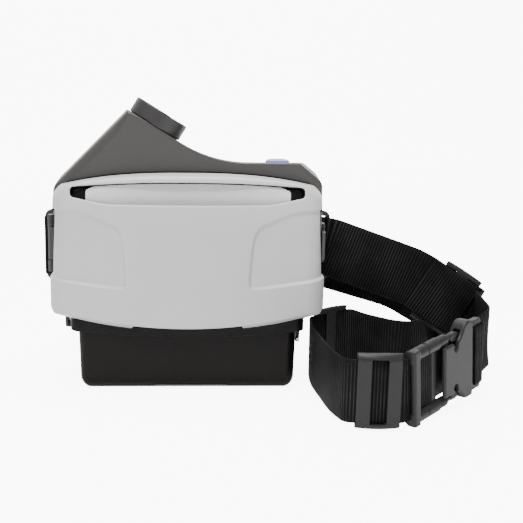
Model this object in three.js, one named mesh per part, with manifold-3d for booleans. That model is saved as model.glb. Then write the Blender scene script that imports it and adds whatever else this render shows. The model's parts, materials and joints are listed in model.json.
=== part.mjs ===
// Belt-worn powered air respirator: blower unit, battery, filter cover and waist belt.
// Millimetres, +Z up, front of the unit towards -Y. The origin is the middle of the battery's flat underside.
import * as THREE from 'three';
import { mergeVertices } from 'three/addons/utils/BufferGeometryUtils.js';
import Module from 'manifold-3d';

const wasm = await Module();
wasm.setup();

// ---------- driving dimensions ----------
const WALL = 2.6;               // moulded shell thickness
const GAP = 0.3;                // clearance between mating pieces

const HOUSING = { halfWidth: 107.3, bottom: 54, shoulder: 167, deck: 182.5, front: -12, split: 11, back: 34, round: 5,
  foot: 95.5, footRise: 11, deckEnd: 88.5 };
const SCREWS = { places: [[-98, 72], [98, 72], [-98, 158], [96, 158]], boss: 4, head: 3, headY: 31.4, shank: 1.1 };
const OUTLET = { tilt: 31.8, lean: 6, seatX: -27.7, seatZ: 208.7, od: 45.7, bore: 38, rise: 13.2, spigot: 8 };
const DECK = { crestY: -7, slope: 8, leftX: 18 };
const COVER = { halfWidth: 109.3, back: -12.6, crown: -42.5, top: 165, arch: 9.5, bottom: 53.8, chin: 55.2 };
const RECESS = { depth: 2.4, right: 48.2 };
const SLOT = { halfWidth: 91, bottom: 154.6, endTop: 165, arch: 5.4 };
const HINGE = { x: -109.2, y: -12, radius: 2, pin: 1.1, low: 94, high: 140 };
const LATCH = { x: 108.6, pivotY: -3.6, noseY: -19.2, low: 106, high: 128, pin: 0.9 };
const FILTER = { halfWidth: 90, bottom: 68, top: 164, front: -27.5, back: -14.4, pleats: 22, rim: 4 };
const PREFILTER = { left: -74.7, right: 80.6, front: -30.4 };
const BUTTON = { x: 71.5, y: 2, halfLength: 9.6, halfWidth: 5.6, proud: 2.6, travel: 1.2, slotGrow: 0.4 };
const LENS = { left: 30.4, right: 51.6, front: -2, back: 4, proud: 0.7 };
const CONTACTS = { xs: [15, 27, 39], left: 8, right: 44.4, halfWidth: 8.4, pin: 1.6 };
const SCROLL = { centre: [-44.4, 124.9], small: 34, large: 46, wall: 2, front: -8.6, back: 29 };
const FAN = { radius: 29, eye: 20, front: -5, back: 18, blades: 9 };
const MOTOR = { radius: 13.5, front: 3, back: 26.6, shaft: 2 };
const BATTERY = { halfWidth: 87, front: -29, back: 28, flangeHalf: 93, flangeFront: -32, flangeBack: 30,
  flangeBottom: 46, top: 53.3, round: 11 };
const BATTERY_HINGE = { x: -94, z: 51, radius: 1.8, halfLength: 14, hookHalf: 9 };
const BATTERY_LATCH = { x: 89.9, pivotZ: 37, top: 53, halfWidth: 7.5, pin: 1 };
const CELL = { radius: 9.1, length: 64, pitch: 18.9 };
const LABEL = { left: -26, right: 32, top: 3.9, bottom: 2.6, proud: 0.5, thick: 0.4 };
const LABEL_LEAN = 0.6;
const WEB = { width: 49, thick: 1.8, rideZ: 30 };
const WING = { front: 36, back: 40, tip: 119, low: 78, high: 144, slotIn: 105, slotOut: 115 };
const SLIDER = { half: 17, height: 58, cap: 4, bar: 11, centreBar: 5.4, crown: 4.6, back: 2.9 };
const BUCKLE = { tip: [166, -118], heading: 47.1, tilt: 5, male: 40, height: 60, rail: 4.6, halfThick: 5.4, arm: 25,
  female: 62 };

// ---------- colours ----------
const finish = (color, roughness, metalness = 0) => new THREE.MeshStandardMaterial({ color, roughness, metalness });
const COVER_GREY = finish('#c9c9cb', 0.45);
const HOUSING_GREY = finish('#6b6b6e', 0.55);
const COLLAR_GREY = finish('#47474a', 0.45);
const BATTERY_BLACK = finish('#2b2a2b', 0.4);
const WEBBING_BLACK = finish('#1a1a1b', 0.9);
const BUCKLE_GREY = finish('#4b4b4d', 0.5);
const FILTER_WHITE = finish('#eeeeec', 0.95);
const BUTTON_BLUE = finish('#8f9fd6', 0.45);
const RUBBER_BLACK = finish('#202022', 0.85);
const STEEL = finish('#b9bcc0', 0.3, 0.9);
const COPPER = finish('#b3703c', 0.35, 0.8);
const BOARD_GREEN = finish('#27603f', 0.6);
const CELL_BLUE = finish('#39618f', 0.4);
const LABEL_GREY = finish('#b7b7b4', 0.7);
const LENS_CLEAR = finish('#8a9298', 0.2);

// ---------- solids and outlines ----------
const rad = THREE.MathUtils.degToRad;

function solid(geometry) {
  const bare = geometry.index ? geometry.toNonIndexed() : geometry.clone();
  for (const name of Object.keys(bare.attributes)) {
    if (name !== 'position') bare.deleteAttribute(name);
  }
  const merged = mergeVertices(bare, 1e-4);
  const vertProperties = merged.attributes.position.array;
  const triVerts = Uint32Array.from(merged.index.array);
  return new wasm.Manifold(new wasm.Mesh({ numProp: 3, vertProperties, triVerts }));
}

function piece(name, body, material) {
  const data = body.getMesh();
  const geometry = new THREE.BufferGeometry();
  geometry.setAttribute('position', new THREE.BufferAttribute(data.vertProperties, 3));
  geometry.setIndex(new THREE.BufferAttribute(data.triVerts, 1));
  geometry.computeVertexNormals();
  const mesh = new THREE.Mesh(geometry, material);
  mesh.name = name;
  return mesh;
}

// A step from one point towards the next, never past the middle of the stretch between them.
const LARGEST_STEP = 0.48;
const towards = (from, to, step) => new THREE.Vector2(...from).lerp(
  new THREE.Vector2(...to), Math.min(step / Math.hypot(to[0] - from[0], to[1] - from[1]), LARGEST_STEP));

// A closed outline through corners [x, y, rounding]; each rounded corner is a smooth curve.
function outline(corners) {
  const shape = new THREE.Shape();
  corners.forEach(([x, y, round = 0], i) => {
    const before = corners.at(i - 1).slice(0, 2);
    const after = corners[(i + 1) % corners.length].slice(0, 2);
    const start = round ? towards([x, y], before, round) : new THREE.Vector2(x, y);
    if (i === 0) shape.moveTo(start.x, start.y);
    else shape.lineTo(start.x, start.y);
    if (round) {
      const end = towards([x, y], after, round);
      shape.quadraticCurveTo(x, y, end.x, end.y);
    }
  });
  shape.closePath();
  return shape;
}

// The right half's corners, listed upwards, with their mirror images listed back down on the left.
const mirrored = (half) => [...half, ...half.map(([x, y, r]) => [-x, y, r]).reverse()];
const rectangle = (x0, y0, x1, y1, round = 0) => outline(
  [[x0, y0, round], [x1, y0, round], [x1, y1, round], [x0, y1, round]]);

const extruded = (shape, depth, curveSegments) =>
  new THREE.ExtrudeGeometry(shape, { depth, curveSegments, bevelEnabled: false });

// Outlines drawn in (x, z), (x, y) or (y, z) and pushed out along the third axis.
const alongY = (shape, y0, y1, segments = 4) =>
  solid(extruded(shape, y1 - y0, segments).rotateX(Math.PI / 2).translate(0, y1, 0));
const alongZ = (shape, z0, z1, segments = 4) =>
  solid(extruded(shape, z1 - z0, segments).translate(0, 0, z0));
const alongX = (shape, x0, x1, segments = 4) =>
  solid(extruded(shape, x1 - x0, segments).rotateX(Math.PI / 2).rotateZ(Math.PI / 2).translate(x0, 0, 0));
const box = (x0, y0, z0, x1, y1, z1) =>
  solid(new THREE.BoxGeometry(x1 - x0, y1 - y0, z1 - z0).translate((x0 + x1) / 2, (y0 + y1) / 2, (z0 + z1) / 2));

// A rod from a point along an axis.
function rod(from, axis, radius, length, segments = 24) {
  const geometry = new THREE.CylinderGeometry(radius, radius, length, segments).translate(0, length / 2, 0);
  const along = new THREE.Vector3(...axis).normalize();
  const turn = new THREE.Quaternion().setFromUnitVectors(new THREE.Vector3(0, 1, 0), along);
  return solid(geometry.applyQuaternion(turn).translate(...from));
}
const tube = (from, axis, outer, inner, length, segments = 24) => {
  const step = new THREE.Vector3(...axis).normalize();
  const inside = new THREE.Vector3(...from).addScaledVector(step, -1).toArray();
  return rod(from, axis, outer, length, segments).subtract(rod(inside, axis, inner, length + 2, segments));
};
const union = (...bodies) => bodies.reduce((sum, body) => sum.add(body));

// ---------- the unit's frame lines ----------
const outletFlat = [Math.sin(rad(OUTLET.tilt)), Math.cos(rad(OUTLET.tilt))];
const outletAxis = [outletFlat[0] * Math.cos(rad(OUTLET.lean)), Math.sin(rad(OUTLET.lean)),
  outletFlat[1] * Math.cos(rad(OUTLET.lean))];
const outletSeat = [OUTLET.seatX, HOUSING.split, OUTLET.seatZ];
const alongOutlet = (distance) => outletSeat.map((v, i) => v + outletAxis[i] * distance);

function housingOutline(inset) {
  const half = OUTLET.od / 2 + 1 - inset;
  const lift = 4 - inset * 3;
  const seat = (side) => [
    OUTLET.seatX + outletFlat[0] * lift + side * half * outletFlat[1],
    OUTLET.seatZ + outletFlat[1] * lift - side * half * outletFlat[0],
  ];
  const side = HOUSING.halfWidth - inset;
  const deck = HOUSING.deck - inset;
  const foot = HOUSING.bottom + inset;
  const [seatX, seatZ] = seat(1);
  const bendX = seatX + (seatZ - deck) / Math.tan(rad(OUTLET.tilt));
  const shoulder = HOUSING.shoulder - inset * 0.6;
  const knee = foot + HOUSING.footRise;
  const footX = HOUSING.foot - inset / 2;
  return outline([
    [-side, knee, 3], [-side, shoulder, 5], [...seat(-1), 0.8], [seatX, seatZ, 0.8], [bendX, deck, 12],
    [HOUSING.deckEnd, deck, 5], [side, shoulder, 5], [side, knee, 3], [footX, foot, 3], [-footX, foot, 3],
  ]);
}

// The sloping deck falls towards the back from a crest near its front edge.
function deckCut(drop) {
  const wedge = new THREE.BoxGeometry(200, 120, 60).translate(100, 60, 30).rotateX(-rad(DECK.slope));
  return solid(wedge.translate(DECK.leftX + drop, DECK.crestY, HOUSING.deck - drop));
}

function seatCut(drop) {
  return rod(alongOutlet(-drop), outletAxis, 60, 40, 12);
}

// The housing's block, its whole outside or its hollow: the front view, rounded down both rear edges.
function housingBlock(inset) {
  const side = HOUSING.halfWidth - inset;
  const plan = outline([[-side, HOUSING.front + inset], [side, HOUSING.front + inset],
    [side, HOUSING.back - inset, HOUSING.round], [-side, HOUSING.back - inset, HOUSING.round]]);
  return alongY(housingOutline(inset), HOUSING.front + inset, HOUSING.back - inset)
    .intersect(alongZ(plan, 0, 300)).subtract(deckCut(inset)).subtract(seatCut(inset));
}

const screwBosses = (y0, y1, bore) =>
  SCREWS.places.map(([x, z]) => tube([x, y0, z], [0, 1, 0], SCREWS.boss, bore, y1 - y0, 16));

function housingShells() {
  const shell = housingBlock(0).subtract(housingBlock(WALL))
    .subtract(rod(alongOutlet(-20), outletAxis, OUTLET.od / 2 - 1.6, 60, 32));
  const front = [-200, -60, 40, 200, HOUSING.split - GAP / 2, 260];
  const rear = [-200, HOUSING.split + GAP / 2, 40, 200, 60, 260];
  const buttonHole = alongZ(rectangle(
    BUTTON.x - BUTTON.halfLength - BUTTON.slotGrow, BUTTON.y - BUTTON.halfWidth - BUTTON.slotGrow,
    BUTTON.x + BUTTON.halfLength + BUTTON.slotGrow, BUTTON.y + BUTTON.halfWidth + BUTTON.slotGrow, 5.6), 170, 190);
  const lensHole = box(LENS.left - 0.4, LENS.front - 0.4, 170, LENS.right + 0.4, LENS.back + 0.4, 190);
  const contactHole = box(CONTACTS.left, -CONTACTS.halfWidth, 50, CONTACTS.right, CONTACTS.halfWidth, 60);

  let frontShell = shell.intersect(box(...front));
  for (const boss of screwBosses(HOUSING.front + 1, HOUSING.split - 0.4, 1.25)) frontShell = frontShell.add(boss);
  const hingeLug = (z0, z1) => union(
    alongZ(rectangle(HINGE.x - 2, -12.4, -106, -7, 0.6), z0, z1),
    rod([HINGE.x, HINGE.y, z0], [0, 0, 1], HINGE.radius, z1 - z0, 20));
  const batteryHook = alongY(outline([
    [-99.2, 58], [-99.2, 47, 2], [-91.6, 47, 1.4], [-91.6, 48.5], [-96.6, 48.5, 1.4], [-96.6, 58]]),
    -BATTERY_HINGE.hookHalf, BATTERY_HINGE.hookHalf);
  const latchEar = (z0, z1) => alongZ(rectangle(105.5, -7, 110.6, 0, 1.2), z0, z1);
  frontShell = union(frontShell, hingeLug(HINGE.low, 104), hingeLug(130, HINGE.high), batteryHook,
    latchEar(LATCH.low - 5, LATCH.low - GAP), latchEar(LATCH.high + GAP, LATCH.high + 5));
  frontShell = frontShell
    .subtract(rod([HINGE.x, HINGE.y, HINGE.low - 1], [0, 0, 1], HINGE.pin + 0.2, 60, 20))
    .subtract(rod([HINGE.x, HINGE.y, 104], [0, 0, 1], HINGE.radius + 0.9, 26, 20))
    .subtract(rod([LATCH.x, LATCH.pivotY, LATCH.low - 6], [0, 0, 1], LATCH.pin + 0.2, 40, 16))
    .subtract(box(106.4, -20, LATCH.low - GAP, 112, 1.6, LATCH.high + GAP))
    .subtract(rod([SCROLL.centre[0], HOUSING.front - 2, SCROLL.centre[1]], [0, 1, 0], FAN.eye + 3, 6, 32))
    .subtract(buttonHole).subtract(lensHole).subtract(contactHole);

  let rearShell = shell.intersect(box(...rear));
  for (const boss of screwBosses(HOUSING.split + 0.4, HOUSING.back - 1, 1.6)) rearShell = rearShell.add(boss);
  for (const [x, z] of SCREWS.places) {
    rearShell = rearShell.subtract(rod([x, SCREWS.headY - 0.4, z], [0, 1, 0], SCREWS.head + 0.4, 6, 16));
  }
  const drainSlot = box(-60, 20, 46, -30, 26, 57);
  rearShell = rearShell.subtract(drainSlot);
  return [piece('front_housing', frontShell, HOUSING_GREY), piece('rear_housing', rearShell, HOUSING_GREY)];
}

function housingScrews() {
  return SCREWS.places.map(([x, z], i) => {
    const head = rod([x, SCREWS.headY, z], [0, 1, 0], SCREWS.head, 2, 12);
    const shank = rod([x, 1, z], [0, 1, 0], SCREWS.shank, 31, 10);
    return piece(`housing_screw_${i + 1}`, head.add(shank), STEEL);
  });
}

function outletCollar() {
  const barrel = rod(alongOutlet(GAP), outletAxis, OUTLET.od / 2, OUTLET.rise - GAP, 40);
  const spigot = rod(alongOutlet(-OUTLET.spigot), outletAxis, OUTLET.od / 2 - 2, OUTLET.spigot + 2, 40);
  const bore = rod(alongOutlet(-30), outletAxis, OUTLET.bore / 2, 60, 40);
  const rim = alongOutlet(OUTLET.rise - 1);
  const notch = box(-3.6, -30, -0.2, 3.6, 0, 3).rotate([0, OUTLET.tilt, 0]).translate(rim);
  return piece('outlet_collar', barrel.add(spigot).subtract(bore).subtract(notch), COLLAR_GREY);
}

// ---------- blower ----------
function spiral(grow) {
  const points = [];
  const exitAngle = 180 - OUTLET.tilt;
  for (let turn = 0; turn <= 360; turn += 12) {
    const angle = rad(exitAngle - turn);
    const radius = SCROLL.small + (SCROLL.large - SCROLL.small) * turn / 360 + grow;
    const [x, z] = SCROLL.centre;
    points.push(new THREE.Vector2(x + radius * Math.cos(angle), z + radius * Math.sin(angle)));
  }
  return new THREE.Shape(points);
}

function duct(grow, y0, y1, start, end) {
  const near = 14 - grow;
  const far = SCROLL.large - 0.6 + grow;
  const at = (across, up) => [
    SCROLL.centre[0] - across * outletFlat[1] + up * outletFlat[0],
    SCROLL.centre[1] + across * outletFlat[0] + up * outletFlat[1]];
  return alongY(outline([at(near, start), at(far, start), at(far, end), at(near, end)]), y0, y1);
}

function blower() {
  const { front, back, wall, centre } = SCROLL;
  const ductEnd = 69;
  const outer = union(alongY(spiral(wall), front, back), duct(wall, front, back, -3, ductEnd));
  const inner = union(alongY(spiral(0), front - 1, back - wall), duct(0, front - 1, back - wall, -3, ductEnd + 5));
  const shaftHole = rod([centre[0], back - 6, centre[1]], [0, 1, 0], 3, 10, 16);
  const scroll = outer.subtract(inner).subtract(shaftHole)
    .intersect(box(-200, front + wall + GAP, 0, 200, back, 300));
  const lid = outer.intersect(box(-200, front, 0, 200, front + wall, 300))
    .subtract(rod([centre[0], front - 2, centre[1]], [0, 1, 0], FAN.eye, 8, 32));
  const gasket = tube([centre[0], HOUSING.front + 0.7, centre[1]], [0, 1, 0], 22.6, FAN.eye,
    front - HOUSING.front - 0.7 - GAP, 32);
  return [piece('volute_scroll', scroll, COLLAR_GREY), piece('volute_lid', lid, COLLAR_GREY),
    piece('inlet_gasket', gasket, RUBBER_BLACK)];
}

function fanWheel() {
  const [x, z] = SCROLL.centre;
  const depth = FAN.back - FAN.front;
  let wheel = tube([x, FAN.back - 2, z], [0, 1, 0], FAN.radius, MOTOR.radius + 1, 2, 32);
  wheel = wheel.add(tube([x, FAN.front, z], [0, 1, 0], FAN.radius, FAN.eye + 1, 2, 32));
  wheel = wheel.add(tube([x, 0.2, z], [0, 1, 0], MOTOR.radius + 3, MOTOR.radius + 1, FAN.back - 0.2, 24));
  wheel = wheel.add(rod([x, -2, z], [0, 1, 0], MOTOR.radius + 3, 2.4, 24));
  const bladeAngle = 35;
  const blade = alongY(rectangle(MOTOR.radius + 2, -0.7, FAN.radius - 0.5, 0.7), FAN.front + 1, FAN.front + depth - 1)
    .translate([-FAN.eye, 0, 0]).rotate([0, bladeAngle, 0]).translate([FAN.eye, 0, 0]);
  for (let i = 0; i < FAN.blades; i += 1) {
    wheel = wheel.add(blade.rotate([0, i * 360 / FAN.blades, 0]).translate([x, 0, z]));
  }
  wheel = wheel.subtract(rod([x, -6, z], [0, 1, 0], MOTOR.shaft + 0.2, 12, 16));
  return piece('impeller', wheel, COVER_GREY);
}

function motor() {
  const [x, z] = SCROLL.centre;
  const { radius, front, back, shaft } = MOTOR;
  const at = (y) => [x, y, z];
  const axis = [0, 1, 0];
  const can = rod(at(front), axis, radius, back - front, 24)
    .subtract(rod(at(front + 1.6), axis, radius - 1.4, back - front - 3.2, 24))
    .subtract(rod(at(front - 1), axis, shaft + 1.2, 60, 16));
  const inside = front + 1.9;
  return [
    piece('motor_can', can, STEEL),
    piece('motor_bearing_front', tube(at(inside), axis, 6, shaft + 0.3, 3, 16), STEEL),
    piece('motor_bearing_rear', tube(at(back - 5), axis, 6, shaft + 0.3, 3, 16), STEEL),
    piece('motor_stator', tube(at(inside + 3.6), axis, radius - 1.8, 7.4, 11.4, 24), COPPER),
    piece('motor_rotor', tube(at(inside + 3.6), axis, 6.8, shaft + 0.2, 11.4, 20), RUBBER_BLACK),
    piece('motor_shaft', rod(at(-3), axis, shaft, back - 0.4 + 3, 16), STEEL),
  ];
}

// ---------- control parts ----------
function controls() {
  const deckZ = HOUSING.deck - (BUTTON.y - DECK.crestY) * Math.tan(rad(DECK.slope));
  const { x, y, halfLength, halfWidth } = BUTTON;
  const cap = alongZ(rectangle(x - halfLength, y - halfWidth, x + halfLength, y + halfWidth, 5.2),
    deckZ - 6, deckZ + BUTTON.proud, 6);
  const flange = alongZ(
    rectangle(x - halfLength - 2, y - halfWidth - 2, x + halfLength + 2, y + halfWidth + 2, 5), deckZ - 6.6, deckZ - 5);
  const stem = box(x - 2, y - 2, deckZ - 10, x + 2, y + 2, deckZ - 6);
  const switchTop = deckZ - 10 - BUTTON.travel - 0.4;
  const board = box(16, 20, 74, 90, 21.6, 160);
  const arm = box(x - 8, y - 5, switchTop - 7, x + 8, 19.6, switchTop - 5.6);
  const lens = alongZ(rectangle(LENS.left, LENS.front, LENS.right, LENS.back, 1.5), 176, deckZ + LENS.proud);
  let block = union(
    box(CONTACTS.left + 0.6, -CONTACTS.halfWidth + 0.6, 54.2, CONTACTS.right - 0.6, CONTACTS.halfWidth - 0.6, 64),
    box(CONTACTS.left - 3, -9, 57.2, CONTACTS.right + 2.6, 9, 64));
  for (const at of CONTACTS.xs) block = block.subtract(box(at - 3, -5, 50, at + 3, 5, 60));
  return [
    piece('power_button', union(cap, flange, stem), BUTTON_BLUE),
    piece('button_switch', union(box(x - 4, y - 4, switchTop - 5.2, x + 4, y + 4, switchTop - 1),
      box(x - 1.6, y - 1.6, switchTop - 1.2, x + 1.6, y + 1.6, switchTop)), RUBBER_BLACK),
    piece('switch_board', arm, BOARD_GREEN),
    piece('status_lens', lens.subtract(deckCut(-0.1)), LENS_CLEAR),
    piece('control_board', board, BOARD_GREEN),
    piece('alarm_buzzer', rod([74, 9, 92], [0, 1, 0], 8, 10.6, 20), RUBBER_BLACK),
    piece('contact_block', block, RUBBER_BLACK),
  ];
}

// ---------- filter cover and filter ----------
function coverPillow(inset) {
  const half = COVER.halfWidth - inset;
  const low = COVER.bottom + inset;
  const face = new THREE.Shape();
  face.moveTo(-95.3 + inset / 2, low);
  face.lineTo(95.3 - inset / 2, low);
  face.lineTo(half, low + 12);
  face.lineTo(half - 0.3, 86);
  face.lineTo(half - 2.6, 158);
  face.quadraticCurveTo(half - 3.6, 164 - inset, half - 9, COVER.top - inset);
  face.quadraticCurveTo(0, COVER.top + 2 * COVER.arch - inset, -half + 9, COVER.top - inset);
  face.quadraticCurveTo(-half + 3.6, 164 - inset, -half + 2.6, 158);
  face.lineTo(-half + 0.3, 86);
  face.lineTo(-half, low + 12);
  face.closePath();

  const crown = COVER.crown + inset;
  const plan = new THREE.Shape();
  plan.moveTo(-half, 0);
  plan.lineTo(-half, -22);
  plan.quadraticCurveTo(-half, -33 + inset, -half + 15, -36 + inset);
  plan.quadraticCurveTo(0, 2 * crown + 36 - inset, half - 15, -36 + inset);
  plan.quadraticCurveTo(half, -33 + inset, half, -22);
  plan.lineTo(half, 0);
  plan.closePath();

  const chin = COVER.chin + inset;
  const side = outline([[0, low], [crown + 8, low, 3], [crown + 2.4, chin + 1.6, 3], [crown, chin + 14, 6],
    [crown, 160, 12], [crown + 7, 172.5 - inset, 9], [0, 182]]);
  return alongY(face, crown - 4, COVER.back, 10)
    .intersect(alongZ(plan, 30, 200, 8))
    .intersect(alongX(side, -130, 130, 5));
}

function recessPrism(grow) {
  const half = [
    [120, 147.5 + grow], [94, 148.2 + grow, 6], [82, 147.4 + grow, 6], [56 - grow, 136.6 + grow, 3],
    [RECESS.right + 3 - grow, 130, 3], [RECESS.right - grow, 98, 5], [RECESS.right - 1 - grow, 86 - grow, 4],
    [60, 85.8 - grow, 4], [120, 91 - grow]];
  const right = alongY(outline(half), -60, 0);
  return right.add(right.mirror([1, 0, 0]));
}

function coverBody(inset) {
  const cut = recessPrism(inset).subtract(coverPillow(inset + RECESS.depth));
  return coverPillow(inset).subtract(cut);
}

function slotPrism() {
  const { halfWidth, bottom, endTop, arch } = SLOT;
  const shape = new THREE.Shape();
  shape.moveTo(-halfWidth + 12, bottom + 0.4);
  shape.quadraticCurveTo(0, bottom - 1, halfWidth - 12, bottom + 0.4);
  shape.quadraticCurveTo(halfWidth, bottom + 2, halfWidth + 0.6, bottom + 6);
  shape.quadraticCurveTo(halfWidth, endTop - 0.6, halfWidth - 6, endTop + 0.6);
  shape.quadraticCurveTo(0, endTop + 2 * arch, -halfWidth + 6, endTop + 0.6);
  shape.quadraticCurveTo(-halfWidth, endTop - 0.6, -halfWidth - 0.6, bottom + 6);
  shape.quadraticCurveTo(-halfWidth, bottom + 2, -halfWidth + 12, bottom + 0.4);
  return alongY(shape, -60, -16, 6);
}

function filterCover() {
  const hollow = coverBody(WALL).add(box(-99, COVER.back - 1, 66, 99, 0, 161));
  const knuckle = union(
    rod([HINGE.x, HINGE.y, 104.4], [0, 0, 1], HINGE.radius, 25.2, 20),
    alongZ(outline([[HINGE.x - 1.4, -13.2], [HINGE.x + 0.6, -12.9], [-104, -12.9], [-104, -16], [HINGE.x - 0.4, -14]]),
      104.4, 129.6));
  const shell = coverBody(0).subtract(hollow).subtract(slotPrism()).add(knuckle)
    .subtract(rod([HINGE.x, HINGE.y, 100], [0, 0, 1], HINGE.pin + 0.2, 40, 20));
  return piece('filter_cover', shell, COVER_GREY);
}

function coverHardware() {
  const lever = alongZ(outline([
    [106.9, LATCH.noseY, 0.8], [109.6, LATCH.noseY, 1], [110.4, -5, 1.6], [110.2, -1.4, 1], [107.6, -1.4, 1],
    [107.2, -15]]), LATCH.low, LATCH.high)
    .subtract(rod([LATCH.x, LATCH.pivotY, LATCH.low - 1], [0, 0, 1], LATCH.pin + 0.2, 30, 16));
  const hingePin = rod([HINGE.x, HINGE.y, HINGE.low + 0.5], [0, 0, 1], HINGE.pin, HINGE.high - HINGE.low - 1, 16);
  const latchPin = rod([LATCH.x, LATCH.pivotY, LATCH.low - 4.5], [0, 0, 1], LATCH.pin, 31, 12);
  return [
    piece('cover_hinge_pin', hingePin, STEEL),
    piece('cover_latch', lever, HOUSING_GREY),
    piece('cover_latch_pin', latchPin, STEEL),
  ];
}

function filterStack() {
  const { halfWidth, bottom, top, front, back, pleats, rim } = FILTER;
  const window = (inset, y0, y1) => alongY(
    rectangle(-halfWidth + inset, bottom + inset, halfWidth - inset, top - inset, Math.max(6 - inset, 2)), y0, y1);
  const frame = window(0, front, back).subtract(window(rim, front - 1, back - 2)).subtract(window(9, front, back + 1));

  const sheetHalf = 0.55;
  const left = -halfWidth + rim + 1.6;
  const step = -left / pleats;
  const folds = [];
  for (let i = 0; i <= 2 * pleats; i += 1) folds.push([left + i * step, i % 2 ? front + 1.4 : back - 3.4]);
  const sheet = [...folds.map(([x, y]) => [x, y - sheetHalf]), ...folds.map(([x, y]) => [x, y + sheetHalf]).reverse()];
  const prefilter = alongY(rectangle(PREFILTER.left, bottom + 3, PREFILTER.right, top, 2), PREFILTER.front, front - GAP);
  const seal = window(2, back + GAP, HOUSING.front - 0.4).subtract(window(7, -30, 0));
  return [
    piece('filter_frame', frame, RUBBER_BLACK),
    piece('filter_media', alongZ(outline(sheet), bottom + rim + 1.6, top - rim - 1.6), FILTER_WHITE),
    piece('prefilter_pad', prefilter, FILTER_WHITE),
    piece('filter_seal', seal, RUBBER_BLACK),
  ];
}

// ---------- battery ----------
function battery() {
  const b = BATTERY;
  // The tub's outside or its hollow: rounded along both bottom edges and at the front and back.
  const tubBlock = (inset, top) => alongY(outline(mirrored([
    [b.halfWidth - inset, inset, b.round - inset / 2], [b.halfWidth - inset, top]])), b.front + inset, b.back - inset)
    .intersect(alongX(outline([[b.front + inset, top], [b.front + inset, inset, 9 - inset / 2],
      [b.back - inset, inset, 9 - inset / 2], [b.back - inset, top]]), -100, 100));
  const latch = BATTERY_LATCH;
  const ear = (y0, y1) => alongY(rectangle(86, 33.6, 91.4, 40, 1.2), y0, y1);
  const latchBore = rod([latch.x, -20, latch.pivotZ], [0, 1, 0], latch.pin + 0.2, 40, 16);
  const tub = union(tubBlock(0, b.flangeBottom).subtract(tubBlock(WALL, b.flangeBottom + 5)),
    ear(-latch.halfWidth - 3, -latch.halfWidth - GAP), ear(latch.halfWidth + GAP, latch.halfWidth + 3))
    .subtract(latchBore);

  // The label lies on the rounded lower front edge, whose facet there slopes back by LABEL_LEAN for each mm down.
  const facet = (z, proud) => [b.front - 0.4 + (5.06 - z) * LABEL_LEAN - proud * 0.857, z - proud * 0.515];
  const label = alongX(outline([facet(LABEL.top, LABEL.proud), facet(LABEL.bottom, LABEL.proud),
    facet(LABEL.bottom, LABEL.proud + LABEL.thick), facet(LABEL.top, LABEL.proud + LABEL.thick)]), LABEL.left, LABEL.right);

  const plate = alongZ(rectangle(-b.flangeHalf, b.flangeFront, b.flangeHalf, b.flangeBack, 8), b.flangeBottom + GAP, b.top)
    .subtract(box(-82, b.front + 5, b.flangeBottom - 1, 82, b.back - 5, b.top - 2.4))
    .subtract(box(84.6, -latch.halfWidth - 0.8, 40, 100, latch.halfWidth + 0.8, 60))
    .subtract(box(CONTACTS.left - 1, -6.4, 50, CONTACTS.right + 2.6, 6.4, 60));
  const hinge = BATTERY_HINGE;
  const arm = (y) => box(hinge.x - 1.6, y, hinge.z - 1.6, hinge.x + 4, y + 3, hinge.z + 1.6);
  const lid = plate.subtract(rod([hinge.x, -hinge.hookHalf - 0.6, hinge.z], [0, 1, 0], 6.4, 2 * hinge.hookHalf + 1.2, 24))
    .add(rod([hinge.x, -hinge.halfLength, hinge.z], [0, 1, 0], hinge.radius, 2 * hinge.halfLength, 16))
    .add(arm(-hinge.halfLength)).add(arm(hinge.halfLength - 3));
  const lever = alongY(outline([
    [latch.x - 1.7, latch.pivotZ - 2.6, 0.8], [latch.x + 1.5, latch.pivotZ - 2.6, 0.8], [latch.x + 1.9, 47, 1],
    [latch.x + 3.4, latch.top - 2, 1], [latch.x + 2, latch.top, 0.6], [latch.x - 0.6, latch.top, 0.6]]),
  -latch.halfWidth, latch.halfWidth).subtract(latchBore);
  const latchPin = rod(
    [latch.x, -latch.halfWidth - 2.6, latch.pivotZ], [0, 1, 0], latch.pin, 2 * latch.halfWidth + 5.2, 12);
  const contacts = union(box(10, -6, 49, 44, 6, 50.6),
    ...CONTACTS.xs.map((x) => box(x - CONTACTS.pin, -3, 50, x + CONTACTS.pin, 3, 57)));
  const pieces = [
    piece('battery_tub', tub, BATTERY_BLACK),
    piece('battery_lid', lid, BATTERY_BLACK),
    piece('battery_latch', lever, COLLAR_GREY),
    piece('battery_latch_pin', latchPin, STEEL),
    piece('battery_contacts', contacts, COPPER),
    piece('battery_board', box(66.5, -22, 5, 68.1, 22, 44), BOARD_GREEN),
    piece('battery_label', label, LABEL_GREY),
  ];
  let index = 0;
  for (const x of [-80, -14.6]) {
    for (const y of [-10, -10 + CELL.pitch]) {
      for (const z of [13.2, 13.2 + CELL.pitch]) {
        index += 1;
        const cell = rod([x, y, z], [1, 0, 0], CELL.radius, CELL.length, 16);
        pieces.push(piece(`battery_cell_${index}`, cell, CELL_BLUE));
      }
    }
  }
  return pieces;
}

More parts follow.
